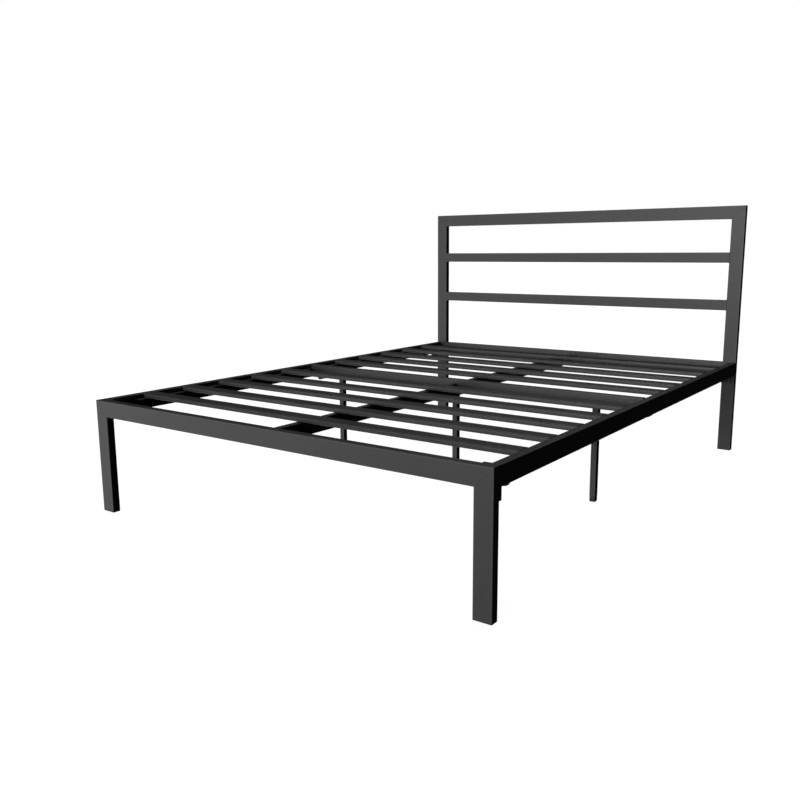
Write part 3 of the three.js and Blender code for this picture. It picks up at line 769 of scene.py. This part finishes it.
def add_thread(builder, centre, low, high):
    """A stud with a helical thread, standing on its axis between two heights."""
    count = int((high - low) / STUD_PITCH * STUD_RINGS_PER_TURN)
    rings = []
    for index in range(count + 1):
        z = low + (high - low) * index / count
        fade = min(1.0, (high - z) / (2 * STUD_PITCH))
        points = []
        for number in range(STUD_SIDES):
            turn = number / STUD_SIDES
            phase = ((z - low) / STUD_PITCH - turn) % 1.0
            groove = 1 - abs(2 * phase - 1)
            radius = STUD_RADIUS - THREAD_DEPTH * groove * fade - THREAD_DEPTH * (1 - fade)
            angle = 2 * math.pi * turn
            points.append(Vector((centre[0] + radius * math.cos(angle),
                                  centre[1] + radius * math.sin(angle), z)))
        rings.append(builder.ring(points, 0.0))
    for before, after in zip(rings, rings[1:]):
        builder.bridge(before, after)
    builder.cap(rings[0], flip=True)
    builder.cap(rings[-1])


def build_levelling_feet():
    for prop in PROPS:
        node = f"levelling_foot_{prop}"
        low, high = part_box(node)
        centre = ((low.x + high.x) / 2, (low.y + high.y) / 2)
        leg_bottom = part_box(f"support_leg_{prop}")[0].z
        top = leg_bottom - FOOT_GAP
        block = Builder()
        add_rounded_prism(block, "z", (low, Vector((high.x, high.y, top))), FOOT_RADIUS,
                          MOULDED_CHAMFER, steps=CORNER_STEPS, taper=FOOT_TAPER)
        pad = block.finish(f"{node}_block", PLASTIC)
        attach(pad, f"foot_{prop}")
        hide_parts(node)
        stud = Builder()
        add_thread(stud, centre, top - STUD_ROOT, high.z)
        rod = stud.finish(f"{node}_stud", ZINC, sharp=SHARP_STUD)
        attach(rod, f"foot_{prop}")


def build_floor_plugs():
    inset = MAIN_WALL + PLUG_CLEARANCE
    for side_name in SIDES:
        for end_name in ENDS:
            node = f"floor_plug_{end_name}_{side_name}"
            low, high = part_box(node)
            builder = Builder()
            add_rounded_prism(builder, "z", (low, Vector((high.x, high.y, low.z + PLUG_RIM))),
                              MAIN_RADIUS, MOULDED_CHAMFER, steps=CORNER_STEPS)
            add_rounded_prism(
                builder, "z",
                (Vector((low.x + inset, low.y + inset, low.z + PLUG_RIM / 2)),
                 Vector((high.x - inset, high.y - inset, high.z))), PLUG_RADIUS, PLUG_CHAMFER)
            piece = builder.finish(f"{node}_moulding", PLASTIC)
            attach(piece, "frame")
            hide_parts(node)


# ---- Stage --------------------------------------------------------------------------

CAMERA_PLACE = (1.5318, -2.4306, 0.8087)
CAMERA_AZIMUTH = 36.204
CAMERA_DOWN = 10.446
CAMERA_ROLL = -0.421
CAMERA_LENS = 36.94
CAMERA_SENSOR = 36.0
CAMERA_REACH = 200.0

WHITE = (1.0, 1.0, 1.0)
AMBIENT = 0.009

# Soft lights: name, azimuth and elevation in degrees, strength, and width in degrees. Azimuth 0
# is in front of the foot end and 90 is on the right. The ones below the horizon stand in for what
# a pale floor would throw back, and the last one lights the back and the tops.
SUNS = (
    ("left_side", -60, 3, 0.13, 35),
    ("left_floor", -60, -10, 0.36, 35),
    ("front_left", -35, 3, 0.36, 35),
    ("front_floor", -30, -15, 0.31, 40),
    ("front_narrow", -8, 10, 0.75, 10),
    ("front_soft", -2, 10, 0.74, 12),
    ("front_right", 5, 8, 0.74, 12),
    ("rear_floor", 205, -24, 0.5, 40),
    ("rear_left_floor", 245, -24, 0.4, 40),
    ("back", 200, 60, 1.0, 40),
)
FLOOR_PAINT = (0.25, 0.25, 0.25)
FLOOR_GLOW = 0.95
FLOOR_REACH = 60.0
FLOOR_DROP = 0.2 * MM             # how far the floor stays below the legs


def build_camera():
    data = bpy.data.cameras.new("camera")
    data.sensor_width = CAMERA_SENSOR
    data.lens = CAMERA_LENS
    data.clip_end = CAMERA_REACH
    camera = bpy.data.objects.new("camera", data)
    bpy.context.scene.collection.objects.link(camera)
    turn = (Matrix.Rotation(math.radians(CAMERA_AZIMUTH), 4, "Z")
            @ Matrix.Rotation(math.radians(90 - CAMERA_DOWN), 4, "X")
            @ Matrix.Rotation(math.radians(CAMERA_ROLL), 4, "Z"))
    camera.matrix_world = Matrix.Translation(CAMERA_PLACE) @ turn
    bpy.context.scene.camera = camera


def build_floor():
    """A pale floor that is white by its own glow. It casts no shadow and isn't mirrored."""
    mesh = bpy.data.meshes.new("floor")
    reach = FLOOR_REACH
    mesh.from_pydata([(-reach, -reach, 0), (reach, -reach, 0), (reach, reach, 0),
                      (-reach, reach, 0)], [], [(0, 1, 2, 3)])
    floor = bpy.data.objects.new("floor", mesh)
    floor.location.z = -FLOOR_DROP
    bpy.context.scene.collection.objects.link(floor)
    nodes = Nodes("pale_floor")
    nodes.shader.inputs["Base Color"].default_value = (*FLOOR_PAINT, 1)
    nodes.shader.inputs["Roughness"].default_value = 1.0
    nodes.shader.inputs["Specular IOR Level"].default_value = 0.0
    nodes.shader.inputs["Emission Color"].default_value = (*WHITE, 1)
    nodes.shader.inputs["Emission Strength"].default_value = FLOOR_GLOW
    mesh.materials.append(nodes.material)
    floor.visible_diffuse = False
    floor.visible_glossy = False
    floor.visible_shadow = False


def build_sun(name, azimuth, elevation, strength, softness):
    """A soft distant light. Azimuth 0 comes from the foot end and 90 from the right."""
    data = bpy.data.lights.new(name, "SUN")
    data.energy = strength
    data.angle = math.radians(softness)
    light = bpy.data.objects.new(name, data)
    a, e = math.radians(azimuth), math.radians(elevation)
    towards = Vector((math.sin(a) * math.cos(e), -math.cos(a) * math.cos(e), math.sin(e)))
    light.rotation_mode = "QUATERNION"
    light.rotation_quaternion = towards.to_track_quat("Z", "Y")
    bpy.context.scene.collection.objects.link(light)


def build_world():
    """The camera sees a white room, and the frame is lit by a much dimmer one."""
    world = bpy.data.worlds.new("room")
    bpy.context.scene.world = world
    world.use_nodes = True
    tree = world.node_tree
    background = tree.nodes["Background"]
    path = tree.nodes.new("ShaderNodeLightPath")
    strength = tree.nodes.new("ShaderNodeMapRange")
    strength.inputs["To Min"].default_value = AMBIENT
    strength.inputs["To Max"].default_value = 1.0
    tree.links.new(path.outputs["Is Camera Ray"], strength.inputs["Value"])
    tree.links.new(strength.outputs["Result"], background.inputs["Strength"])
    background.inputs["Color"].default_value = (*WHITE, 1)


def build_stage():
    build_floor()
    build_world()
    for name, azimuth, elevation, strength, softness in SUNS:
        build_sun(name, azimuth, elevation, strength, softness)
    bpy.context.scene.view_settings.view_transform = "Standard"


# ---- Scene --------------------------------------------------------------------------

build_camera()
build_corner_tubes()
build_cross_rails()
build_frame_welds()
build_side_rails()
build_rail_welds()
build_deck()
soften_cad_nodes()
build_bolts()
build_levelling_feet()
build_floor_plugs()
build_stage()
